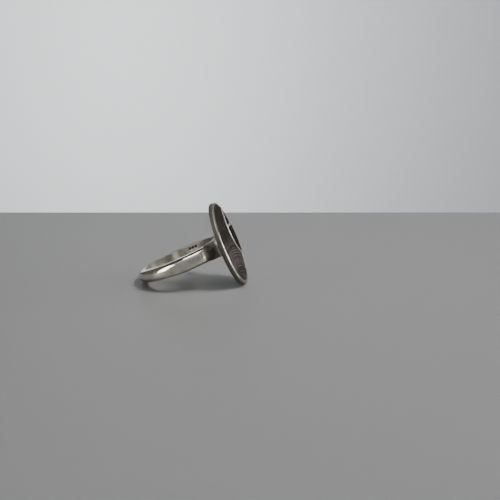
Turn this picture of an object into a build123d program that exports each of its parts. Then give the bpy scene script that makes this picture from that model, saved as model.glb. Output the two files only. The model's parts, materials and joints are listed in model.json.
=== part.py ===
from build123d import *

import os
from math import asin, atan2, cos, hypot, pi, sin, sqrt

# A silver ring lying on its side, as it rests on a table, in millimetres. The finger axis leans
# back by the tilt worked out below, so the back of the shank and the head's lower rim touch
# Z = 0. +X runs from the back of the shank to the head, and Y = 0 halves the shank and the head.

# Shank: the closed band round the finger, flat inside and domed outside
finger_bore_radius = 8.65
shank_thickness = 2.15
shank_edge = 1.35
shank_edge_round = 0.2
shank_bore_stock = 0.3
shank_width_back = 3.2
shank_width_head = 3.95
shank_sections = 7

# Saddle: the block that joins the crown of the shank to the back of the head
saddle_length = 10.4
saddle_inset = 0.05
saddle_corner = 0.7
solder_round = 0.3

# Head: an oval back plate with the bezel soldered on it
head_height = 20.1
head_width = 15.9
head_standoff = 11.25
head_drop = 0.35
plate_thickness = 0.65
plate_lip = 0.12
plate_edge_round = 0.12
bezel_height = 0.55
bezel_edge_round = 0.1

# Recess of the bezel: its wall is even round the sides and the top, and widest at the foot
recess_wall = 0.5
recess_foot = 0.75

# Divider: a flat silver strip on an arc down the far side of the face, and a bar behind it
divider_radius = 8.4
divider_crown = 2.9
divider_rise = 3.2
divider_width = 0.45
bar_rise = 3.4
bar_width = 0.5

# Inlays: cut shell in the wide field, two black pieces in the field behind the divider
inlay_gap = 0.03
inlay_depth = 0.06
black_corner_round = 0.15
raised_inlay_height = 0.2
raised_inlay_round = 0.15

# Sizes worked out from the ones above
crown_radius = finger_bore_radius + shank_thickness
dome_rise = shank_thickness - shank_edge
dome_radius = ((shank_width_back / 2) ** 2 + dome_rise**2) / (2 * dome_rise)
dome_centre = crown_radius - dome_radius
saddle_root = sqrt((finger_bore_radius + shank_edge / 2) ** 2 - (saddle_length / 2) ** 2)
head_thickness = plate_thickness + bezel_height
recess_half_height = (head_height - recess_wall - recess_foot) / 2
recess_half_width = head_width / 2 - recess_wall
recess_rise = (recess_foot - recess_wall) / 2
divider_centre = (divider_crown + divider_radius, divider_rise)

# Tilt: the floor is the common tangent of the dome at the back and the plate's lower edge
contact_reach = dome_centre + head_standoff + plate_edge_round
contact_drop = head_height / 2 + plate_lip + head_drop - plate_edge_round
contact_span = hypot(contact_reach, contact_drop)
contact_turn = asin((dome_radius - plate_edge_round) / contact_span)
tilt = atan2(contact_drop, contact_reach) - contact_turn

# Place of the finger axis: the dome at the back touches the floor, and X = 0 halves the length
reach_back = dome_centre * cos(tilt) + dome_radius
reach_front = (
    (head_standoff + head_thickness - bezel_edge_round) * cos(tilt)
    + (head_height / 2 + head_drop - bezel_edge_round) * sin(tilt)
    + bezel_edge_round
)
ring_centre = Vector(
    (reach_back - reach_front) / 2,
    0,
    dome_centre * sin(tilt) + dome_radius,
)
to_head = Vector(cos(tilt), 0, sin(tilt))
finger_axis = Vector(-sin(tilt), 0, cos(tilt))

# Planes: the ring's own, and the head's, seen from the front with Y to the right
ring_plane = Plane(origin=ring_centre, x_dir=to_head, z_dir=finger_axis)
back_plane = Plane(
    origin=ring_centre + to_head * head_standoff - finger_axis * head_drop,
    x_dir=(0, 1, 0),
    z_dir=to_head,
)
recess_floor = back_plane.offset(plate_thickness)
outwards = Axis(back_plane.origin, to_head)


def section_plane(turn):
    """Plane across the shank at a turn about the finger axis, with X pointing outwards."""
    radial = ring_plane.x_dir * cos(turn) + ring_plane.y_dir * sin(turn)
    return Plane(
        origin=ring_plane.origin,
        x_dir=radial,
        z_dir=ring_plane.z_dir.cross(radial),
    )


def shank_section(turn):
    """D section: stock for the bore, two short flat edges and one arc over them."""
    share = (1 + cos(turn)) / 2
    half_width = (shank_width_back + (shank_width_head - shank_width_back) * share) / 2
    inside = finger_bore_radius - shank_bore_stock
    edge = finger_bore_radius + shank_edge
    with BuildSketch(section_plane(turn)) as section:
        with BuildLine():
            Polyline(
                (edge, -half_width),
                (inside, -half_width),
                (inside, half_width),
                (edge, half_width),
            )
            ThreePointArc((edge, half_width), (crown_radius, 0), (edge, -half_width))
        make_face()
        fillet(section.vertices().group_by(Axis.X)[-1], shank_edge_round)
    return section.sketch


def recess_oval(clearance):
    """The oval inside the bezel, in the plane of the face."""
    with Locations((0, recess_rise)):
        Ellipse(recess_half_width - clearance, recess_half_height - clearance)


def shell_field(clearance):
    """The wide field: the recess outside the arc of the divider."""
    recess_oval(clearance)
    with Locations(divider_centre):
        Circle(divider_radius + divider_width / 2 + clearance, mode=Mode.SUBTRACT)


def black_field(clearance, above):
    """The field behind the divider, on one side of the bar."""
    side = 1 if above else -1
    edge = bar_rise + side * (bar_width / 2 + clearance)
    recess_oval(clearance)
    with Locations(divider_centre):
        Circle(divider_radius - divider_width / 2 - clearance, mode=Mode.INTERSECT)
    with Locations((0, edge + side * head_height / 2)):
        Rectangle(head_width, head_height, mode=Mode.INTERSECT)


# Silver ring: shank, saddle, back plate, bezel and divider, soldered into one piece
with BuildPart() as silver_ring:
    loft([shank_section(pi * step / (shank_sections - 1)) for step in range(shank_sections)])
    mirror(about=Plane.XZ)
    with BuildSketch(back_plane):
        with Locations((0, head_drop)):
            RectangleRounded(saddle_length, shank_width_head - 2 * saddle_inset, saddle_corner)
    extrude(amount=saddle_root - head_standoff)
    with BuildSketch(ring_plane):
        Circle(finger_bore_radius)
    extrude(amount=shank_width_head, both=True, mode=Mode.SUBTRACT)
    with BuildSketch(back_plane):
        Ellipse(head_width / 2 + plate_lip, head_height / 2 + plate_lip)
    extrude(amount=plate_thickness)
    plate_rims = faces(Select.LAST).sort_by(outwards)
    fillet([rim.outer_wire().edges() for rim in (plate_rims[0], plate_rims[-1])], plate_edge_round)
    back_face = silver_ring.faces().filter_by(outwards).sort_by(outwards)[0]
    fillet(back_face.inner_wires()[0].edges(), solder_round)
    with BuildSketch(recess_floor):
        Ellipse(head_width / 2, head_height / 2)
    extrude(amount=bezel_height)
    bezel_top = faces(Select.LAST).sort_by(outwards)[-1]
    fillet(bezel_top.outer_wire().edges(), bezel_edge_round)
    with BuildSketch(recess_floor):
        shell_field(0)
    with BuildSketch(recess_floor):
        black_field(0, above=True)
    with BuildSketch(recess_floor):
        black_field(0, above=False)
    extrude(amount=bezel_height, mode=Mode.SUBTRACT)

# Shell inlay: one flat slab of dark shell, cut to the wide field
with BuildPart() as shell_inlay:
    with BuildSketch(recess_floor.offset(inlay_gap)):
        shell_field(inlay_gap)
    extrude(amount=bezel_height - inlay_depth - inlay_gap)

# Black inlays: the upper one is flush, the lower one stands proud with a rounded top
with BuildPart() as black_inlay_upper:
    with BuildSketch(recess_floor.offset(inlay_gap)) as black_inlay_upper_cut:
        black_field(inlay_gap, above=True)
        fillet(black_inlay_upper_cut.vertices(), black_corner_round)
    extrude(amount=bezel_height - inlay_depth - inlay_gap)

with BuildPart() as black_inlay_lower:
    with BuildSketch(recess_floor.offset(inlay_gap)) as black_inlay_lower_cut:
        black_field(inlay_gap, above=False)
        fillet(black_inlay_lower_cut.vertices(), black_corner_round)
    extrude(amount=bezel_height + raised_inlay_height - inlay_gap)
    outer_face = black_inlay_lower.faces().sort_by(outwards)[-1]
    fillet(outer_face.edges(), raised_inlay_round)

pieces = {
    "silver_ring": silver_ring,
    "shell_inlay": shell_inlay,
    "black_inlay_upper": black_inlay_upper,
    "black_inlay_lower": black_inlay_lower,
}

os.makedirs("parts", exist_ok=True)
for name, piece in pieces.items():
    piece.part.label = name
    export_step(piece.part, f"parts/{name}.step")
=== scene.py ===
import json
from math import cos, pi, radians, sin

import bmesh
import bpy
import numpy as np
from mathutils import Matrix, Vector


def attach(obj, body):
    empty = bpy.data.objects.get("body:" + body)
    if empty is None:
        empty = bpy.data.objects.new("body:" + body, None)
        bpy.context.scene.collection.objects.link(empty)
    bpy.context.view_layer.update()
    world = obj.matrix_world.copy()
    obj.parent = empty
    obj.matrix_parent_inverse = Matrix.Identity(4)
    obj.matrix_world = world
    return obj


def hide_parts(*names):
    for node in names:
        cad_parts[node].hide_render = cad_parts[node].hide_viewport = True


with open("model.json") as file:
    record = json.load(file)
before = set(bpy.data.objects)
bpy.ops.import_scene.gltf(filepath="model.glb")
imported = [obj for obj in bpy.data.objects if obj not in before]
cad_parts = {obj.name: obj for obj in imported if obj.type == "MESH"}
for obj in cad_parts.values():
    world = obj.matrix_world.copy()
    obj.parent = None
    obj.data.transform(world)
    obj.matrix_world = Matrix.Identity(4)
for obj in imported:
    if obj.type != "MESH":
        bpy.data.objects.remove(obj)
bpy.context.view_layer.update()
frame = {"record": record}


# Camera: a longish lens a little above the table, with the head turned slightly towards it.
# The lying ring's own directions come from its finger bore: the middle, the finger axis, which
# leans back, and the way to the head. Sizes are in millimetres throughout.
MM = 0.001
bore = frame["record"]["mounts"][0]
ring_centre = np.array(bore["pos_m"]) / MM
finger_axis = np.array(bore["axis"])
sideways = np.array([0.0, 1.0, 0.0])
to_head = np.cross(sideways, finger_axis)

camera_distance = 235.3
camera_azimuth = radians(12.35)
camera_elevation = radians(12.83)
camera_heading = radians(-8.37)
camera_dip = radians(12.30)


def bearing(azimuth, elevation):
    """Unit vector from an azimuth, 0 along +Y and clockwise from above, and a height angle."""
    level = cos(elevation)
    return Vector((sin(azimuth) * level, cos(azimuth) * level, sin(elevation)))


camera = bpy.data.objects.new("camera", bpy.data.cameras.new("camera"))
bpy.context.scene.collection.objects.link(camera)
camera.data.sensor_width = 36.0
camera.data.lens = 72.0
camera.data.clip_start = 0.01
camera.data.clip_end = 20.0
ring_to_camera = bearing(pi - camera_azimuth, camera_elevation)
camera.location = (Vector(ring_centre) + camera_distance * ring_to_camera) * MM
camera.rotation_mode = "QUATERNION"
camera.rotation_quaternion = bearing(camera_heading, -camera_dip).to_track_quat("-Z", "Y")
bpy.context.scene.camera = camera


# Shank and saddle: the closed silver band round the finger, flat inside, with narrow flat edges
# and a domed outside, wider towards the head. The saddle is a squared block on its crown, filed
# to meet the head's back and soldered there, so the seam flares. Polishing left it uneven.
bore_radius = bore["dims"]["r_mm"]
shank_thickness = 2.15
shank_edge = 1.35
shank_width_back = 3.2
shank_width_head = 3.95
saddle_half_length = 5.2
saddle_inset = 0.05
saddle_sink = 0.3
head_standoff = 11.25
seam_blend = 0.3
solder_round = 0.3

# How its sections are drawn: rays from a core point, and how sharp the corners between faces are
core_radius = 9.7
outer_sharpness = 3.8
bore_sharpness = 16
plan_sharpness = 8
tiny = 0.001

# Hand-made unevenness: low hills, dents (turn, ray, size, depth) and three dimples in the bore
hand_finish = 0.014
dents = (
    (202.0, 38.0, 0.34, 0.05),
    (228.0, 20.0, 0.26, 0.03),
    (247.0, 47.0, 0.30, 0.04),
    (262.0, -25.0, 0.36, 0.04),
    (129.0, 16.0, 0.40, 0.05),
    (98.0, -32.0, 0.28, 0.03),
)
dimple_turns = (76.4, 81.9, 87.4)
dimple_along = 0.75
dimple_radius = 0.29
dimple_depth = 0.1
dimple_rim = 0.1
dimple_wall = 0.25

# Painted shade: the neck under the head is darkened as shade, but for its edge at the bore, with
# painted highlights on its collar and on two spots, which are also satin. Painted shade also
# darkens the crease and the seam at the plate, and paints dark reflections on the back and on
# the far top edge of the bore
face_turnover = 3
neck_start = 7.15
neck_fade = 0.45
neck_shade = 0.86
bright_edge = 0.2
bright_edge_fade = 0.25
collar_ahead = 10.45
collar_width = 0.3
collar_highlight = 0.40
crease_width = 0.05
crease_shade = 0.3
seam_reach = 0.1
seam_fade = 0.25
back_spread = 0.35
back_shade = 0.72
far_edge_out = -0.33
far_edge_width = 0.3
far_edge_fade = 1.5
highlight_and_satin_spots = (
    {"ahead": 10.45, "along": 1.5, "length": 0.28, "width": 0.40, "cleared": 1.0, "satin": 1.5},
    {"ahead": 8.9, "along": 0.9, "length": 0.35, "width": 0.30, "cleared": 0.4, "satin": 0.5},
)

# Inside the bore: a patchy film of tarnish, clear of the field round the dimples, with painted
# shade added towards the back, and one satin patch left clear of it as a painted highlight
film_share = 0.32
film_patches = 0.3
film_waves = 14
bore_shade_at_back = 0.45
bore_shade_turn, bore_shade_spread = radians(150), radians(24)
patch_turn, patch_spread = radians(113), radians(5)
field_turn, field_spread = radians(85), radians(14)
bore_satin, patch_satin, field_satin = 0.1, 2.6, 0.9


def on_ring(ahead, across, along):
    """Points from their distances towards the head, to the far side and along the finger axis."""
    steps = np.broadcast_arrays(ahead, across, along)
    axes = (to_head, sideways, finger_axis)
    return ring_centre + sum(step[..., None] * axis for step, axis in zip(steps, axes))


def eased(count):
    """Steps from 0 up to 1, without the 1, drawn together at both ends by half a cosine."""
    return (1 - np.cos(np.pi * np.arange(count) / count)) / 2


def smooth_max(a, b, blend):
    """The larger of a and b, with the corner where they cross rounded over the blend."""
    return (a + b + np.sqrt((a - b) ** 2 + blend**2)) / 2


def nearest(a, b, sharpness):
    """The smaller of two distances by a high power mean, which rounds the corner between them."""
    return (a**-sharpness + b**-sharpness) ** (-1 / sharpness)


def bell(distance, width):
    """Bell curve: 1 where the distance is 0, fading away on both sides of it over the width."""
    return np.exp(-((distance / width) ** 2))


def ramp(distance, length):
    """Straight ramp from 0 at no distance to 1 at the length, held within 0 and 1."""
    return np.clip(distance / length, 0, 1)


def waves(x, y, seed, count=7):
    """Gentle random hills: a mean of sine waves of random direction, length and phase, within 1."""
    draw = np.random.default_rng(seed)
    total = 0
    for pull_x, pull_y, phase in draw.uniform((-1, -1, 0), (1, 1, 2 * pi), (count, 3)):
        total = total + np.sin(pull_x * x + pull_y * y + phase)
    return total / count


def add_object(name, shape):
    """New object of a mesh or a light, at the origin and linked to the scene."""
    piece = bpy.data.objects.new(name, shape)
    bpy.context.scene.collection.objects.link(piece)
    return piece


def skin(name, grid, **marks):
    """Closed mesh of a grid of points (rows, columns, 3) in millimetres, a quad in each cell.

    Columns join end to start, and points that fall together, as at a pole, are merged. The quads
    are turned by the sign of the volume that they enclose, so that they face outwards. Each
    mark is one number for every point, kept as an attribute of that name.
    """
    rows, columns = grid.shape[:2]
    index = np.arange(rows * columns).reshape(rows, columns)
    index = np.hstack([index, index[:, :1]])
    corners = (index[:-1, :-1], index[1:, :-1], index[1:, 1:], index[:-1, 1:])
    quads = np.stack(corners, axis=-1).reshape(-1, 4)
    points = grid.reshape(-1, 3)
    a, b, c, d = (points[quads[:, k]] for k in range(4))
    first_half = (a - c) * np.cross(b - c, d - c)
    second_half = (a + c - 2 * points.mean(0)) * np.cross(c - a, d - b)
    if np.sum(first_half + second_half) < 0:
        quads = quads[:, ::-1]
    mesh = bpy.data.meshes.new(name)
    mesh.from_pydata((points * MM).tolist(), [], quads.tolist())
    for mark, numbers in marks.items():
        layer = mesh.attributes.new(mark, "FLOAT", "POINT")
        numbers = np.broadcast_to(numbers, (rows, columns)).astype(np.float32)
        layer.data.foreach_set("value", numbers.ravel())
    work = bmesh.new()
    work.from_mesh(mesh)
    bmesh.ops.remove_doubles(work, verts=work.verts, dist=1e-7)
    work.to_mesh(mesh)
    work.free()
    mesh.shade_smooth()
    return add_object(name, mesh)


def shank_marks(turn, out, up, radius, ahead, across, along, crease, dimples):
    """Tarnish with painted shade, and satin wear, of the shank's points, each one number from 0 to
    about 1.

    Painted shade darkens the neck up to the plate, the crease where the saddle leaves the dome and
    the seam at the plate, and paints dark reflections on the back and the far top edge. Tarnish
    darkens the dimples and lies as a patchy film in the bore, with painted shade added towards its
    back. Painted highlights lighten the collar and two spots of the neck, and a patch of the bore
    left clear of the film. Satin lies in the bore, most on its patch and round the dimples, and on
    the two spots. Where two marks meet, the stronger one holds.
    """
    facing_out = np.clip(face_turnover * out + 0.5, 0, 1)
    in_bore = np.clip(-face_turnover * out, 0, 1)
    off_bore = ramp(radius - bore_radius - bright_edge, bright_edge_fade)
    # Painted shade on the neck under the head, lightened on the collar as a painted highlight
    neck_painted_shade = ramp(ahead - neck_start, neck_fade) * off_bore
    neck_painted_shade = neck_painted_shade * (neck_shade - collar_highlight * bell(ahead - collar_ahead, collar_width) * facing_out)
    satin = 0
    # Each spot is lightened as a painted highlight and made satin
    for spot in highlight_and_satin_spots:
        on_spot = bell(ahead - spot["ahead"], spot["length"])
        on_spot = on_spot * bell(along - spot["along"], spot["width"])
        neck_painted_shade = neck_painted_shade * (1 - spot["cleared"] * on_spot)
        satin = satin + spot["satin"] * on_spot * facing_out

    # The bright patch is a painted highlight: the film is kept off it
    bright_patch = bell(turn - patch_turn, patch_spread)
    dimple_field = bell(turn - field_turn, field_spread)
    patchy = waves(film_waves * np.cos(turn), film_waves * np.sin(turn), seed=5)
    film = (film_share + film_patches * patchy) * (1 - bright_patch)
    # Painted shade: the film is darkened towards the back of the bore
    film = film + bore_shade_at_back * bell(turn - bore_shade_turn, bore_shade_spread)
    film = film * in_bore * (1 - dimple_field)
    in_bore_satin = bore_satin + patch_satin * bright_patch + field_satin * dimple_field
    satin = satin + in_bore * in_bore_satin * (dimples < dimple_wall)

    tarnish = 0
    # Tarnish, and painted shade on the crease, the seam at the plate, the back and the far top edge
    for mark in (
        crease_shade * bell(crease, crease_width) * facing_out,
        neck_painted_shade,
        bell(out - far_edge_out, far_edge_width) * (up > 0) * ramp(across, far_edge_fade),
        bell(np.maximum(head_standoff - ahead - seam_reach, 0), seam_fade),
        back_shade * bell(turn - pi, back_spread) * facing_out,
        film,
        ramp(dimples - dimple_rim, dimple_wall),
    ):
        tarnish = np.maximum(tarnish, mark)
    return tarnish, satin


def shank_skin():
    """Grid of the shank and saddle, a row for each turn about the finger axis, and its marks.

    In each section, rays leave a core point inside the metal. A ray runs to the nearest of the
    bore, the flat sides and the outside, and a high power mean of the three rounds the corners.
    The outside is the higher of the dome, an arc over the flat edges, and the saddle, which ends
    at two planes across the band and sinks into the plate. Near the plate it flares as solder.
    The rows lie closest together where the saddle ends.
    """
    half_turn = np.radians(np.concatenate([
        np.linspace(0, 20, 30, endpoint=False),
        np.linspace(20, 36, 90, endpoint=False),
        np.linspace(36, 180, 200),
    ]))
    turn = np.concatenate([half_turn, 2 * pi - half_turn[-2::-1]])[:, None]
    widening = (1 + np.cos(turn)) / 2
    half_width = (shank_width_back + (shank_width_head - shank_width_back) * widening) / 2
    crown_radius = bore_radius + shank_thickness
    edge_radius = bore_radius + shank_edge
    end_reach = saddle_half_length / np.maximum(np.abs(np.sin(turn)), 0.01)
    plate_reach = (head_standoff + saddle_sink) / np.maximum(np.cos(turn), 0.1)
    saddle_reach = np.minimum(end_reach, plate_reach) * (np.cos(turn) > 0)

    corner_out = np.arctan2(half_width, np.maximum(edge_radius, saddle_reach) - core_radius)
    corner_in = np.arctan2(half_width, bore_radius - core_radius)
    stretches = ((0, corner_out, 36), (corner_out, corner_in, 18), (corner_in, pi, 18))
    side = [start + (end - start) * eased(count) for start, end, count in stretches]
    side.append(np.full_like(turn, pi))
    half_ray = np.hstack(side)
    ray = np.hstack([half_ray, -half_ray[:, -2:0:-1]])
    out, up = np.cos(ray), np.sin(ray)

    dome_rise = crown_radius - edge_radius
    dome_radius = (half_width**2 + dome_rise**2) / (2 * dome_rise)
    lift = core_radius - (crown_radius - dome_radius)
    to_dome = np.sqrt(dome_radius**2 - (lift * up) ** 2) - lift * out
    to_saddle = (saddle_reach - core_radius) / np.maximum(out, tiny)
    to_side = half_width / np.maximum(np.abs(up), tiny)
    to_bore = (core_radius - bore_radius) / np.maximum(-out, tiny)
    outside = smooth_max(to_dome, to_saddle, seam_blend)
    length = nearest(nearest(outside, to_side, outer_sharpness), to_bore, bore_sharpness)

    uneven = waves(10 * np.cos(turn) + 2 * ray, 10 * np.sin(turn), seed=4)
    length = length - hand_finish * np.clip(face_turnover * out + 0.5, 0, 1) * (1 + uneven)
    for dent_turn, dent_ray, dent_size, dent_depth in dents:
        beside = (turn - radians(dent_turn)) * crown_radius
        above = (ray - radians(dent_ray)) * (crown_radius - core_radius)
        length = length - dent_depth * bell(np.hypot(beside, above), dent_size)
    dimples = 0
    for dimple_turn in dimple_turns:
        beside = (turn - radians(dimple_turn)) * bore_radius
        above = to_bore * up - dimple_along
        dimples = dimples + bell(np.hypot(beside, above), dimple_radius) * (out < 0)
    length = length - dimple_depth * dimples

    radius = core_radius + length * out
    ahead = radius * np.cos(turn)
    across = radius * np.sin(turn)
    along = length * up

    share_across = np.abs(across) / saddle_half_length
    share_along = np.abs(along) / (shank_width_head / 2 - saddle_inset)
    plan = (share_across**plan_sharpness + share_along**plan_sharpness) ** (1 / plan_sharpness)
    plan = np.maximum(plan, tiny)
    into_seam = np.clip(solder_round - (head_standoff - ahead), 0, solder_round)
    flare = solder_round - np.sqrt(solder_round**2 - into_seam**2)
    flare = flare * np.minimum(plan, 1) ** plan_sharpness
    across = across + flare * (share_across / plan) ** (plan_sharpness - 1) * np.sign(across)
    along = along + flare * (share_along / plan) ** (plan_sharpness - 1) * np.sign(along)

    marks = shank_marks(turn, out, up, radius, ahead, across, along, to_dome - to_saddle, dimples)
    return on_ring(ahead, across, along), *marks


points, tarnish, satin = shank_skin()
shank = skin("shank_and_saddle", points, tarnish=tarnish, satin=satin)


def place(tree, kind, sockets, **settings):
    """Adds a shader node, sets its properties, and fills or links its sockets by their names."""
    node = tree.nodes.new(kind)
    for name, value in settings.items():
        setattr(node, name, value)
    for name, value in sockets.items():
        if isinstance(value, bpy.types.NodeSocket):
            tree.links.new(value, node.inputs[name])
        else:
            node.inputs[name].default_value = value
    return node


def remap(tree, value, low, high, start=0.0, end=1.0, smooth=False):
    """Carries a value from one range to another, held within it."""
    sockets = {"Value": value, "From Min": low, "From Max": high, "To Min": start, "To Max": end}
    kind = "SMOOTHSTEP" if smooth else "LINEAR"
    return place(tree, "ShaderNodeMapRange", sockets, interpolation_type=kind).outputs["Result"]


def calculate(tree, operation, *values):
    """One sum, product or other operation on values or sockets."""
    return place(tree, "ShaderNodeMath", dict(enumerate(values)), operation=operation).outputs[0]


def add_share(tree, value, share, of):
    """A value plus a share of another one, which may be less than nothing."""
    return calculate(tree, "ADD", value, calculate(tree, "MULTIPLY", of, share))


def blend_colours(tree, share, first, second):
    """Mixes two colours by a share."""
    sockets = {0: share, 6: first, 7: second}
    return place(tree, "ShaderNodeMix", sockets, data_type="RGBA").outputs[2]


def noise(tree, vector, size, detail=3.0, roughness=0.5):
    """Soft noise whose blobs are about the given size in millimetres."""
    sockets = {"Vector": vector, "Scale": 1 / (size * MM), "Detail": detail, "Roughness": roughness}
    return place(tree, "ShaderNodeTexNoise", sockets).outputs["Fac"]


def mark_of(tree, name):
    """Socket of a mark that the mesh keeps for every point."""
    return place(tree, "ShaderNodeAttribute", {}, attribute_name=name).outputs["Fac"]


def blank_material(name):
    """New material, its node tree, its shader and the socket of its Object coordinates."""
    material = bpy.data.materials.new(name)
    material.use_nodes = True
    tree = material.node_tree
    where = tree.nodes.new("ShaderNodeTexCoord").outputs["Object"]
    return material, tree, tree.nodes["Principled BSDF"], where


def add_bump(tree, shader, height, strength, depth):
    """Lets a height from 0 to 1, over a depth in millimetres, turn the shader's normal."""
    sockets = {"Strength": strength, "Distance": depth * MM, "Height": height}
    bump = place(tree, "ShaderNodeBump", sockets)
    tree.links.new(bump.outputs["Normal"], shader.inputs["Normal"])


def make_worn_polish():
    """Group of hairline scratches and cloudy rubbing, for every polished surface of the ring.

    A hairline is where a noise, stretched into thin sheets, crosses its middle value. Sheets of
    three directions are laid over each other, and a broad noise thins them out in patches.
    """
    tree = bpy.data.node_groups.new("worn_polish", "ShaderNodeTree")
    given, result = tree.nodes.new("NodeGroupInput"), tree.nodes.new("NodeGroupOutput")
    tree.interface.new_socket("Width", in_out="INPUT", socket_type="NodeSocketFloat")
    for name in ("Hairlines", "Rubbing"):
        tree.interface.new_socket(name, in_out="OUTPUT", socket_type="NodeSocketFloat")
    where = tree.nodes.new("ShaderNodeTexCoord").outputs["Object"]
    lines = 0.0
    for turn, size in (((0.3, 0.2, 0.4), 0.5), ((1.2, 0.9, 2.1), 0.8), ((2.3, 0.4, 1.2), 1.1)):
        sockets = {"Vector": where, "Rotation": turn, "Scale": (1.0, 0.05, 0.10)}
        stretched = place(tree, "ShaderNodeMapping", sockets).outputs["Vector"]
        field = noise(tree, stretched, size, detail=1.0)
        off_middle = calculate(tree, "ABSOLUTE", calculate(tree, "SUBTRACT", field, 0.5))
        in_widths = calculate(tree, "DIVIDE", off_middle, given.outputs["Width"])
        lines = calculate(tree, "MAXIMUM", lines, calculate(tree, "SUBTRACT", 1.0, in_widths))
    patches = remap(tree, noise(tree, where, 2.2, detail=2.0), 0.4, 0.65)
    tree.links.new(calculate(tree, "MULTIPLY", lines, patches), result.inputs["Hairlines"])
    rubbing = remap(tree, noise(tree, where, 1.6, detail=5.0, roughness=0.6), 0.3, 0.7)
    tree.links.new(rubbing, result.inputs["Rubbing"])
    return tree


worn_polish = make_worn_polish()


def wear(tree, width):
    """Hairlines of a width and the rubbing, as two sockets of the shared group."""
    polish = place(tree, "ShaderNodeGroup", {"Width": width}, node_tree=worn_polish)
    return polish.outputs["Hairlines"], polish.outputs["Rubbing"]


silver_rubbed = (0.62, 0.585, 0.49, 1)
silver_bright = (0.76, 0.735, 0.635, 1)
# Brown of the tarnish, and of the painted shade that the tarnish mark also carries
tarnish_and_shade_brown = (0.042, 0.032, 0.024, 1)


def make_silver():
    """Polished silver with hairlines and a slight orange peel.

    Tarnish and painted shade make it brown, rougher and less of a mirror. Satin wear scatters its
    gloss.
    """
    material, tree, shader, where = blank_material("worn_silver")
    hairlines, rubbing = wear(tree, 0.010)
    satin = mark_of(tree, "satin")
    speckle = remap(tree, noise(tree, where, 0.5, detail=6.0, roughness=0.65), 0.3, 0.7, 0.92, 1.0)
    # The tarnish mark carries painted shade as well as tarnish
    tarnish_and_shade_marks = calculate(tree, "MULTIPLY", mark_of(tree, "tarnish"), speckle)
    clouds = remap(tree, noise(tree, where, 2.4), 0.45, 0.75, 0.0, 0.24)
    tarnish = calculate(tree, "MAXIMUM", tarnish_and_shade_marks, clouds)

    clean = blend_colours(tree, rubbing, silver_rubbed, silver_bright)
    colour = blend_colours(tree, tarnish, clean, tarnish_and_shade_brown)
    rough = remap(tree, rubbing, 0.0, 1.0, 0.04, 0.12)
    for share, of in ((0.42, tarnish), (0.28, satin), (0.13, hairlines)):
        rough = add_share(tree, rough, share, of)
    metal = add_share(tree, remap(tree, tarnish, 0.3, 1.0, 1.0, 0.15), -0.35, satin)
    tree.links.new(colour, shader.inputs["Base Color"])
    tree.links.new(rough, shader.inputs["Roughness"])
    tree.links.new(metal, shader.inputs["Metallic"])
    shader.inputs["Specular IOR Level"].default_value = 0.02
    height = add_share(tree, noise(tree, where, 0.9, detail=2.0), -0.12, hairlines)
    add_bump(tree, shader, height, strength=0.18, depth=0.02)
    return material


silver = make_silver()


def fit(piece, material, slot, *nodes):
    """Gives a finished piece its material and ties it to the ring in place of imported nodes."""
    piece.data.materials.append(material)
    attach(piece, "root")
    if nodes:
        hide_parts(*nodes)


fit(shank, silver, "silver", "silver_ring")


# Plate and bezel: an oval sheet of silver with a plain bezel soldered on it, a little smaller, so
# the plate shows as a lip round it. The recess for the inlays is pierced slightly high, which
# leaves the rim widest at the lower end. The rims were rubbed over and rounded by hand.
head_drop = 0.35
bezel_half_width = 7.95
bezel_half_height = 10.05
plate_lip = 0.12
plate_thickness = 0.65
bezel_height = 0.55
recess_wall = 0.5
recess_foot = 0.75
groove_depth = 0.07
groove_half_width = 0.05
plate_round = 0.12
groove_round = 0.02
bezel_round_outside = 0.2
bezel_round_inside = 0.07
back_margin = 0.6
rise_from = 0.1
disc_rings = 14
oval_points = 400
head_thickness = plate_thickness + bezel_height
recess_half_width = bezel_half_width - recess_wall
recess_half_height = bezel_half_height - (recess_wall + recess_foot) / 2
recess_rise = (recess_foot - recess_wall) / 2

# Hand finish: a slight wobble of the outlines, and a rim that is rubbed down unevenly
rim_wobble = 0.012
wobble_reach = 0.3
rim_rub = 0.02
rim_waves = 9
rub_start = 0.9
rub_fade = 0.2

# Marks: patina in the groove and along the recess floor's corner, a darkened back and sides, and
# painted shade on the rim's two ends, with the satin rim between them
groove_spread = 0.07
foot_spread = 0.15
wall_slack = 0.01
back_darkening = 0.8
back_fade = 0.02
side_darkening = 0.95
side_reach = 0.2
side_top = 1.04
side_fade = 0.08
rim_from = 1.03
rim_corner = 0.22
rim_end_shade = 0.9
rim_satin = 0.6
bright_rise = -1.75
bright_half_height = 4.6
bright_fade = 1.5


def on_head(across, up, lift):
    """Points from their distances across the head, up it, and in front of the plate's back."""
    return on_ring(head_standoff + lift, across, up - head_drop)


def rounded(corners, radii, steps=7):
    """Polyline through (x, y) corners, with an arc of each radius inside each inner corner."""
    corners = np.array(corners, float)
    points = [corners[:1]]
    for before, corner, after, radius in zip(corners, corners[1:], corners[2:], radii):
        come = (corner - before) / np.linalg.norm(corner - before)
        go = (after - corner) / np.linalg.norm(after - corner)
        bend = np.arctan2(come[0] * go[1] - come[1] * go[0], come @ go)
        inwards = np.array([-come[1], come[0]]) * np.sign(bend)
        start = corner - come * radius * np.tan(abs(bend) / 2)
        swing = np.linspace(0, abs(bend), steps)[:, None]
        points.append(start + radius * (come * np.sin(swing) + inwards * (1 - np.cos(swing))))
    return np.vstack([*points, corners[-1:]])


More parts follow.
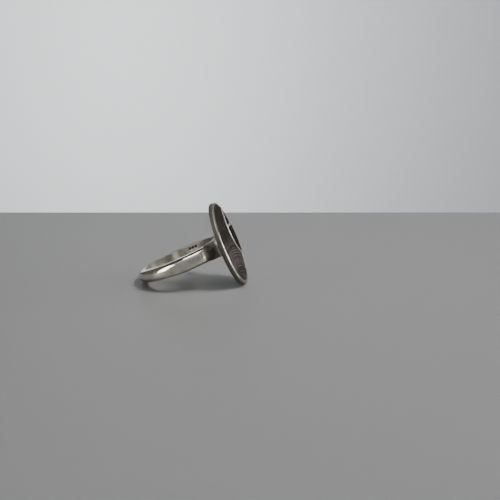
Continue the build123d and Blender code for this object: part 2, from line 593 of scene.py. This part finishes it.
def plate_marks(offset, lift, up):
    """Tarnish, painted shade and satin of the plate's points.

    Tarnish lies in the groove and along the recess floor's corner. The back and the sides are
    darkened. Painted shade darkens the rim's two ends, so that its bright line shows only on the
    outer corner between them, which was left satin.
    """
    off_wall = offset + recess_wall
    over_plate = lift - plate_thickness
    on_side = offset > -side_reach
    on_rim = lift > rim_from
    # Painted shade on the rim's two ends, which leaves its bright line between them
    ends = ramp(np.abs(up - bright_rise) - bright_half_height, bright_fade)
    tarnish = 0
    # Patina in the groove and the recess floor's corner, a darkened back and sides, and the rim's
    # ends
    for mark in (
        bell(over_plate - groove_half_width, groove_spread) * on_side,
        np.exp(-np.maximum(over_plate, 0) / foot_spread) * (off_wall <= wall_slack),
        back_darkening * ramp(back_fade - lift, back_fade),
        side_darkening * ramp(side_top - lift, side_fade) * on_side,
        rim_end_shade * ends * on_rim * (off_wall > 0),
    ):
        tarnish = np.maximum(tarnish, mark)
    satin = rim_satin * (1 - ends) * on_rim * (offset > -rim_corner)
    return tarnish, satin


def plate_skin():
    """Grid of the plate and bezel: their section's profile carried round ovals, and its marks.

    The profile runs outwards over the back, round the plate's lip, along the groove, up the
    bezel, over its top and down to the recess floor. A point's oval is the bezel's, grown by the
    point's offset, and the discs inside shrink evenly to their middles.
    """
    inner = -recess_wall
    profile = rounded(
        [
            (-back_margin, 0),
            (plate_lip, 0),
            (plate_lip, plate_thickness),
            (0.0, plate_thickness),
            (-groove_depth, plate_thickness + groove_half_width),
            (0.0, plate_thickness + 2 * groove_half_width),
            (0.0, head_thickness),
            (inner, head_thickness),
            (inner, plate_thickness),
        ],
        [plate_round] * 2 + [groove_round] * 3 + [bezel_round_outside, bezel_round_inside],
    )
    offset, lift = profile[:, :1], profile[:, 1:]
    share = np.linspace(0, 1, disc_rings, endpoint=False)[:, None]
    shrink = 1 - share[1:]
    middle = [[0]]
    half_width = np.vstack([
        (bezel_half_width - back_margin) * share,
        bezel_half_width + offset,
        recess_half_width * shrink,
        middle,
    ])
    half_height = np.vstack([
        (bezel_half_height - back_margin) * share,
        bezel_half_height + offset,
        recess_half_height * shrink,
        middle,
    ])
    lift = np.vstack([0 * share, lift, plate_thickness + 0 * share])
    offset = np.vstack([0 * share - back_margin, offset, inner + 0 * share])
    in_recess = np.arange(len(lift))[:, None] >= len(share) + len(profile) - 1
    raised = (lift > plate_thickness) | in_recess
    rise = recess_rise * raised * np.clip((offset + rise_from) / (inner + rise_from), 0, 1)
    half_height = half_height - np.where(in_recess, 0, rise)

    angle = np.linspace(0, 2 * pi, oval_points, endpoint=False)
    wobble = rim_wobble * (1 + waves(angle, lift, seed=9))
    wobble = np.where((offset > -wobble_reach) & (offset <= plate_lip), wobble, 0)
    uneven = 1 + waves(rim_waves * np.cos(angle), rim_waves * np.sin(angle), seed=12)
    on_spot = rim_rub * ramp(lift - rub_start, rub_fade) * uneven
    across = (half_width - wobble) * np.cos(angle)
    up = (half_height - wobble) * np.sin(angle) + rise
    return on_head(across, up, lift - on_spot), *plate_marks(offset, lift, up)


points, tarnish, satin = plate_skin()
plate = skin("plate_and_bezel", points, tarnish=tarnish, satin=satin)
fit(plate, silver, "silver")


# Divider: a flat silver strip on edge, bent to an arc down the far side of the face, and a short
# bar behind it. Both are soldered to the recess floor, and their top edges, which stand a little
# above the rim, were rubbed round and satin with it.
divider_centre = (11.3, 3.2)
divider_radius = 8.4
divider_width = 0.45
divider_steps = 220
divider_trial_steps = 2001
bar_rise = 3.4
bar_width = 0.5
bar_steps = 40
strip_edge = 0.09
strip_proud = 0.15
strip_foot = 0.1
strip_into_wall = 0.25
strip_wear = 0.012
strip_waves = 1.5
strip_satin = 0.5


def strip_skin(across, up, width):
    """Grid of a strip on edge: its section carried along a line in the face's plane, and marks.

    The section is a rectangle from the recess floor to above the rim, with its two top corners
    rounded. It stands across the line, and each end shrinks to a point to close the strip. The
    mark is the tarnish along its foot.
    """
    half = width / 2
    low, high = plate_thickness - strip_foot, head_thickness + strip_proud
    corners = [(-half, low), (-half, high), (half, high), (half, low)]
    section = rounded(corners, [strip_edge] * 2, steps=8)
    ahead_across, ahead_up = np.gradient(across), np.gradient(up)
    pace = np.hypot(ahead_across, ahead_up)
    beside, lift = section[:, 0], section[:, 1]
    spread = np.concatenate([[0], np.ones(len(across)), [0]])[:, None]
    across, up, ahead_across, ahead_up, pace = (
        np.pad(line, 1, mode="edge")[:, None] for line in (across, up, ahead_across, ahead_up, pace)
    )
    points_across = across - ahead_up / pace * beside * spread
    points_up = up + ahead_across / pace * beside * spread
    points_lift = plate_thickness + (lift - plate_thickness) * spread
    uneven = 1 + waves(across * strip_waves, up * strip_waves, seed=21)
    worn = strip_wear * uneven * (points_lift > rub_start)
    foot = np.exp(-np.maximum(points_lift - plate_thickness, 0) / foot_spread)
    return on_head(points_across, points_up, points_lift - worn), foot


def inside_recess(across, up, clearance=0.0):
    """How far out a point lies in the recess oval: 0 in the middle and 1 at its wall."""
    share_across = across / (recess_half_width - clearance)
    share_up = (up - recess_rise) / (recess_half_height - clearance)
    return np.hypot(share_across, share_up)


def divider_line(turn):
    """Points across and up the face on the divider's arc, at turns about its centre."""
    return (
        divider_centre[0] + divider_radius * np.cos(turn),
        divider_centre[1] + divider_radius * np.sin(turn),
    )


arc = np.radians(np.linspace(90, 270, divider_trial_steps))
arc = arc[inside_recess(*divider_line(arc)) < 1 + strip_into_wall / recess_half_height]
arc = np.linspace(arc[0], arc[-1], divider_steps)
points, tarnish = strip_skin(*divider_line(arc), divider_width)
divider = skin("divider_strip", points, tarnish=tarnish, satin=strip_satin)
fit(divider, silver, "silver")

bar_start = divider_centre[0] - divider_radius
wall_share = np.sqrt(1 - ((bar_rise - recess_rise) / recess_half_height) ** 2)
bar_end = recess_half_width * wall_share + strip_into_wall
bar_line = np.linspace(bar_start, bar_end, bar_steps)
points, tarnish = strip_skin(bar_line, np.full(bar_steps, bar_rise), bar_width)
bar = skin("divider_bar", points, tarnish=tarnish, satin=strip_satin)
fit(bar, silver, "silver")


# Shell inlay: one slab of dark shell, ground flat, cut to the wide field of the face and glued
# in. Its growth lines are nested arches that open downwards, strong in the lower third and faint
# above, and they stand up very slightly where the polish wore the softer layers down.
inlay_gap = 0.03
inlay_depth = 0.06
inlay_floor = plate_thickness + inlay_gap
inlay_top = head_thickness - inlay_depth
inlay_edge = 0.08
field_half_width = recess_half_width - inlay_gap
field_half_height = recess_half_height - inlay_gap
growth_middle = (-1.5, -10.0)
growth_stretch = 1.6
growth_skew = 0.05
growth_sway = 0.16
growth_ripple = 0.03
growth_count = 60
growth_pitch = 0.44
growth_reach = 22
growth_thin = 0.045
growth_thicker = 0.03
growth_relief = 0.03
growth_fade_from = 8.6
growth_fade = 2.5
growth_faded = 0.8
shell_rows = 300
shell_columns = 260
floor_columns = 12
shell_maroon = (0.012, 0.005, 0.004, 1)
shell_violet = (0.007, 0.004, 0.006, 1)
shell_green = (0.005, 0.006, 0.004, 1)
shell_smoke = (0.003, 0.0025, 0.0025, 1)
line_cream = (0.34, 0.30, 0.25, 1)
line_mauve = (0.28, 0.24, 0.25, 1)


def inlay_skin(up, left, right, to_edge, top, edge, relief, columns):
    """Grid of a slab of inlay with a rounded top edge, a row across it for each height up.

    A row is a closed loop: over the top from left to right, down, and back along the floor. The
    top sinks as a quarter round within the edge's width of the outline. The relief is added to
    it, and the first and last rows shrink to a point of the floor.
    """
    share = np.concatenate([eased(columns), [1]])
    low_share = np.linspace(1, 0, floor_columns)
    row_up = up[:, None]
    across = left[:, None] + (right - left)[:, None] * share
    inside = ramp(to_edge(across, row_up), edge)
    lift = top - edge * (1 - np.sqrt(1 - (1 - inside) ** 2)) + relief(across, row_up) * inside
    low_across = left[:, None] + (right - left)[:, None] * low_share
    across = np.hstack([across, low_across])
    lift = np.hstack([lift, np.full_like(low_across, inlay_floor)])
    middle = across.mean(1)
    across = np.vstack([0 * across[:1] + middle[0], across, 0 * across[:1] + middle[-1]])
    lift = np.vstack([0 * lift[:1] + inlay_floor, lift, 0 * lift[:1] + inlay_floor])
    row_up = np.pad(row_up, ((1, 1), (0, 0)), mode="edge") + 0 * across
    return across, row_up, lift


def to_wall(across, up):
    """Distance inwards from the recess wall, less the glue gap, by the oval's value and slope."""
    value = inside_recess(across, up, inlay_gap)
    slope = np.hypot(across / field_half_width**2, (up - recess_rise) / field_half_height**2)
    return (1 - value) / np.maximum(slope / np.maximum(value, 0.01), 0.01)


def to_divider(across, up):
    """Distance from the divider's near face towards the wide field, less the glue gap."""
    reach = np.hypot(across - divider_centre[0], up - divider_centre[1])
    return reach - divider_radius - divider_width / 2 - inlay_gap


def growth_radius(across, up):
    """Radius of the growth arch through a point: an oval's, skewed, with slow random waves."""
    aside = (across - growth_middle[0]) / growth_stretch
    arch = np.hypot(aside, up - growth_middle[1]) + growth_skew * across
    sway = growth_sway * waves(across * 0.9, up * 0.9, seed=31)
    return arch + sway + growth_ripple * waves(across * 4, up * 4, seed=32)


growth_draw = np.random.default_rng(7)
line_at = np.cumsum(growth_pitch * growth_draw.uniform(0.35, 1.6, growth_count))
line_size = growth_draw.uniform(0.3, 1.0, growth_count)
ruler = np.linspace(0, growth_reach, 6000)
line_width = growth_thin + growth_thicker * line_size
line_marks = bell(ruler[:, None] - line_at, line_width) @ line_size


def growth_lines(across, up):
    """Strength of the growth lines at a point, from 0 between lines to about 1 on a strong one."""
    radius = growth_radius(across, up)
    lines = np.interp(radius, ruler, line_marks)
    upper = ramp(radius - growth_fade_from, growth_fade)
    broken = np.clip(0.75 + 0.6 * waves(across * 2.2, up * 1.1, seed=33), 0, 1)
    return lines * (1 - growth_faded * upper) * broken


def shell_skin():
    """Grid of the shell slab: rows from the recess wall on the near side to wall or divider."""
    tilt = np.linspace(-pi / 2, pi / 2, shell_rows + 2)[1:-1]
    up = recess_rise + field_half_height * np.sin(tilt)
    wall = field_half_width * np.cos(tilt)
    reach = divider_radius + divider_width / 2 + inlay_gap
    rise = np.clip(up - divider_centre[1], -reach, reach)
    right = np.minimum(wall, divider_centre[0] - np.sqrt(reach**2 - rise**2))
    return inlay_skin(
        up, -wall, right,
        lambda across, up: np.minimum(to_wall(across, up), to_divider(across, up)),
        inlay_top, inlay_edge,
        lambda across, up: growth_relief * (growth_lines(across, up) - 1),
        shell_columns,
    )


across, up, lift = shell_skin()
shell = skin(
    "polished_shell",
    on_head(across, up, lift),
    growth_lines=growth_lines(across, up),
    growth_radius=growth_radius(across, up),
    across=across,
    up=up,
)


def make_shell():
    """Dark polished shell: maroon, violet lower down and green at the top, with smoky clouds.

    The growth lines are cream and mauve. A fine noise drawn out along them makes fainter ones.
    """
    material, tree, shader, where = blank_material("dark_shell")
    hairlines, rubbing = wear(tree, 0.012)
    height_up = mark_of(tree, "up")
    strong_lines = mark_of(tree, "growth_lines")
    over_lines = calculate(tree, "MULTIPLY", mark_of(tree, "growth_radius"), 6.0)
    along_lines = calculate(tree, "MULTIPLY", mark_of(tree, "across"), 0.35)
    sockets = {"X": over_lines, "Y": along_lines}
    drawn_out = place(tree, "ShaderNodeCombineXYZ", sockets).outputs["Vector"]
    sockets = {"Vector": drawn_out, "Scale": 1.6, "Detail": 4.0}
    fine_lines = remap(tree, place(tree, "ShaderNodeTexNoise", sockets).outputs["Fac"], 0.5, 0.72)

    low_down = remap(tree, height_up, 0.0, -7.0, smooth=True)
    high_up = remap(tree, height_up, 6.0, 9.0, smooth=True)
    clouds = remap(tree, noise(tree, where, 2.4, detail=4.0), 0.35, 0.65)
    body = blend_colours(tree, low_down, shell_maroon, shell_violet)
    body = blend_colours(tree, high_up, body, shell_green)
    body = blend_colours(tree, clouds, body, shell_smoke)
    two_tone = remap(tree, noise(tree, where, 1.2), 0.4, 0.6)
    line = blend_colours(tree, two_tone, line_cream, line_mauve)
    share = add_share(tree, calculate(tree, "MULTIPLY", strong_lines, 0.9), 0.035, fine_lines)
    colour = blend_colours(tree, calculate(tree, "MINIMUM", share, 1.0), body, line)
    rough = add_share(tree, remap(tree, rubbing, 0.0, 1.0, 0.34, 0.48), 0.12, strong_lines)
    tree.links.new(colour, shader.inputs["Base Color"])
    tree.links.new(rough, shader.inputs["Roughness"])
    shader.inputs["Specular IOR Level"].default_value = 0.03
    add_bump(tree, shader, add_share(tree, fine_lines, -0.4, hairlines), strength=0.3, depth=0.012)
    return material


fit(shell, make_shell(), "shell", "shell_inlay")


# Black inlays: two pieces of black stone behind the divider, one on each side of the bar. The
# upper one is flush, and the lower one stands proud of the rim with a rounded top.
black_reach = divider_radius - divider_width / 2 - inlay_gap
raised_height = 0.2
raised_edge = 0.15
black_rows = 150
black_columns = 60
longest_black = 9
ladder_steps = 4000
stone_black = (0.003, 0.003, 0.003, 1)
stone_mottle = (0.010, 0.012, 0.009, 1)


def black_skin(above, top, edge):
    """Grid of a black inlay: rows from the divider to the recess wall, from the bar to the tip."""
    side = 1 if above else -1
    bar_edge = bar_rise + side * (bar_width / 2 + inlay_gap)

    def outline(up):
        off_centre = np.maximum(black_reach**2 - (up - divider_centre[1]) ** 2, 0)
        off_wall = np.maximum(1 - ((up - recess_rise) / field_half_height) ** 2, 0)
        return divider_centre[0] - np.sqrt(off_centre), field_half_width * np.sqrt(off_wall)

    def to_edge(across, up):
        to_strip = black_reach - np.hypot(across - divider_centre[0], up - divider_centre[1])
        return np.minimum(np.minimum(to_wall(across, up), to_strip), side * (up - bar_edge))

    ladder = bar_edge + side * np.linspace(0, longest_black, ladder_steps)
    left, right = outline(ladder)
    tip = ladder[left < right][-1]
    up = bar_edge + (tip - bar_edge) * np.concatenate([eased(black_rows), [1]])
    left, right = outline(up)
    right = np.maximum(right, left)
    return inlay_skin(up, left, right, to_edge, top, edge, lambda across, up: 0, black_columns)


def make_black():
    """Black stone with faint grey-green mottling and hairline scratches."""
    material, tree, shader, where = blank_material("glossy_black")
    hairlines, rubbing = wear(tree, 0.012)
    mottle = remap(tree, noise(tree, where, 0.8, detail=5.0, roughness=0.6), 0.52, 0.75)
    colour = blend_colours(tree, mottle, stone_black, stone_mottle)
    rough = remap(tree, rubbing, 0.0, 1.0, 0.30, 0.42)
    tree.links.new(colour, shader.inputs["Base Color"])
    tree.links.new(rough, shader.inputs["Roughness"])
    shader.inputs["Specular IOR Level"].default_value = 0.04
    add_bump(tree, shader, calculate(tree, "MULTIPLY", hairlines, -0.4), strength=0.2, depth=0.01)
    return material


black = make_black()
upper_points = on_head(*black_skin(True, inlay_top, inlay_edge))
upper_black = skin("polished_black_upper", upper_points)
fit(upper_black, black, "black_inlay", "black_inlay_upper")
lower_points = on_head(*black_skin(False, head_thickness + raised_height, raised_edge))
lower_black = skin("polished_black_lower", lower_points)
fit(lower_black, black, "black_inlay", "black_inlay_lower")


# Table and backdrop: a plain pale tabletop whose far edge lies level behind the head, and a plain
# wall some way behind it, square to the camera.
table_reach = 321.9
table_half_width = 900.0
wall_reach = 900.0
wall_left = 300.0
wall_right = 240.0
wall_low = -150.0
wall_high = 320.0
table_grey = (0.205, 0.206, 0.208)
wall_white = (0.765, 0.800, 0.815)
grain_shade = 0.94

camera_foot = np.array([camera.location.x, camera.location.y, 0]) / MM
level_ahead = np.array([sin(camera_heading), cos(camera_heading), 0])
level_right = np.array([cos(camera_heading), -sin(camera_heading), 0])
straight_up = np.array([0, 0, 1])


def in_room(right, ahead, up):
    """Point from its distances to the right of the camera, in front of it and above the table."""
    return camera_foot + level_right * right + level_ahead * ahead + straight_up * up


def make_stage(name, corners, paint, roughness):
    """One flat stage piece from its corners in millimetres, painted with a faint grain."""
    mesh = bpy.data.meshes.new(name)
    mesh.from_pydata([tuple(corner * MM) for corner in corners], [], [tuple(range(len(corners)))])
    piece = add_object(name, mesh)
    material, tree, shader, where = blank_material(name + "_paint")
    grain = noise(tree, where, 3.0, detail=6.0, roughness=0.7)
    shade = tuple(part * grain_shade for part in paint)
    colour = blend_colours(tree, grain, (*paint, 1), (*shade, 1))
    tree.links.new(colour, shader.inputs["Base Color"])
    shader.inputs["Roughness"].default_value = roughness
    piece.data.materials.append(material)
    return piece


table_near = table_reach - 2 * table_half_width
table_corners = [
    in_room(-table_half_width, table_near, 0),
    in_room(table_half_width, table_near, 0),
    in_room(table_half_width, table_reach, 0),
    in_room(-table_half_width, table_reach, 0),
]
wall_corners = [
    in_room(-wall_left, wall_reach, wall_low),
    in_room(wall_right, wall_reach, wall_low),
    in_room(wall_right, wall_reach, wall_high),
    in_room(-wall_left, wall_reach, wall_high),
]
make_stage("tabletop", table_corners, table_grey, roughness=0.55)
make_stage("backdrop", wall_corners, wall_white, roughness=0.8)


# Light: soft panels. The polished silver mirrors a tall window on the left, a broad pale one and
# a low bright one on the right, and a panel on the ceiling. A lamp high on the right and one at
# the wall light what is matt and aren't mirrored. The rest of the room glows dimly.
lamp_white = (1.0, 0.99, 0.97)
ring_middle = Vector((0, 0, 5))
window_height = Vector((0, 0, 375))
low_window_height = Vector((0, 0, 75))


def make_panel(name, centre, target, size, brightness, spread=180, mirrored=True, matt=True):
    """Rectangular soft light at a centre that faces a target, all in millimetres.

    It shows in mirrored surfaces and lights matt ones as told. Its power in watts is pi times
    its area times the brightness wanted for its face.
    """
    width, height = size
    light = bpy.data.lights.new(name, "AREA")
    light.shape = "RECTANGLE"
    light.size = width * MM
    light.size_y = height * MM
    light.energy = pi * light.size * light.size_y * brightness
    light.color = lamp_white
    light.spread = radians(spread)
    piece = add_object(name, light)
    piece.location = Vector(centre) * MM
    piece.rotation_euler = (Vector(centre) - Vector(target)).to_track_quat("Z", "Y").to_euler()
    piece.visible_glossy = mirrored
    piece.visible_diffuse = matt
    return piece


left_window = bearing(radians(-130), radians(21)) * 800
right_window = bearing(radians(84), 0) * 400 + window_height
low_window = bearing(radians(84), 0) * 395 + low_window_height
ceiling = bearing(radians(-110), radians(84)) * 700
right_lamp = bearing(radians(95), radians(61)) * 500
wall_lamp = in_room(-120, wall_reach - 290, 60)
lit_wall = in_room(-120, wall_reach, 60)
make_panel("left_window", left_window, ring_middle, (370, 640), 9.0, matt=False)
make_panel("right_window", right_window, window_height, (416, 730), 2.2, spread=150)
make_panel("low_window", low_window, low_window_height, (300, 130), 12.0, matt=False)
make_panel("right_lamp", right_lamp, ring_middle, (190, 190), 22.3, mirrored=False)
make_panel("ceiling_panel", ceiling, ring_middle, (360, 360), 4.5, matt=False)
make_panel("wall_lamp", wall_lamp, lit_wall, (100, 500), 9.6, mirrored=False)

room_dark = (0.050, 0.050, 0.052, 1)
room_left = (0.14, 0.135, 0.13, 1)
room_near = (0.30, 0.30, 0.325, 1)
room_above = (0.75, 0.75, 0.76, 1)


def make_room():
    """Room light by direction, as the polished silver mirrors it.

    It is dark ahead, warmer and less dark on the left, lavender grey behind the camera, and pale
    high up there.
    """
    world = bpy.data.worlds.new("room")
    world.use_nodes = True
    tree = world.node_tree
    facing = tree.nodes.new("ShaderNodeTexCoord").outputs["Generated"]
    split = place(tree, "ShaderNodeSeparateXYZ", {"Vector": facing}).outputs
    left_side = remap(tree, split["X"], -0.3, -0.8, smooth=True)
    near_side = remap(tree, split["Y"], -0.1, -0.5, smooth=True)
    high_up = remap(tree, split["Z"], 0.6, 0.92, smooth=True)
    high_near = calculate(tree, "MULTIPLY", near_side, high_up)
    colour = blend_colours(tree, left_side, room_dark, room_left)
    colour = blend_colours(tree, near_side, colour, room_near)
    colour = blend_colours(tree, high_near, colour, room_above)
    tree.links.new(colour, tree.nodes["Background"].inputs["Color"])
    return world


bpy.context.scene.world = make_room()
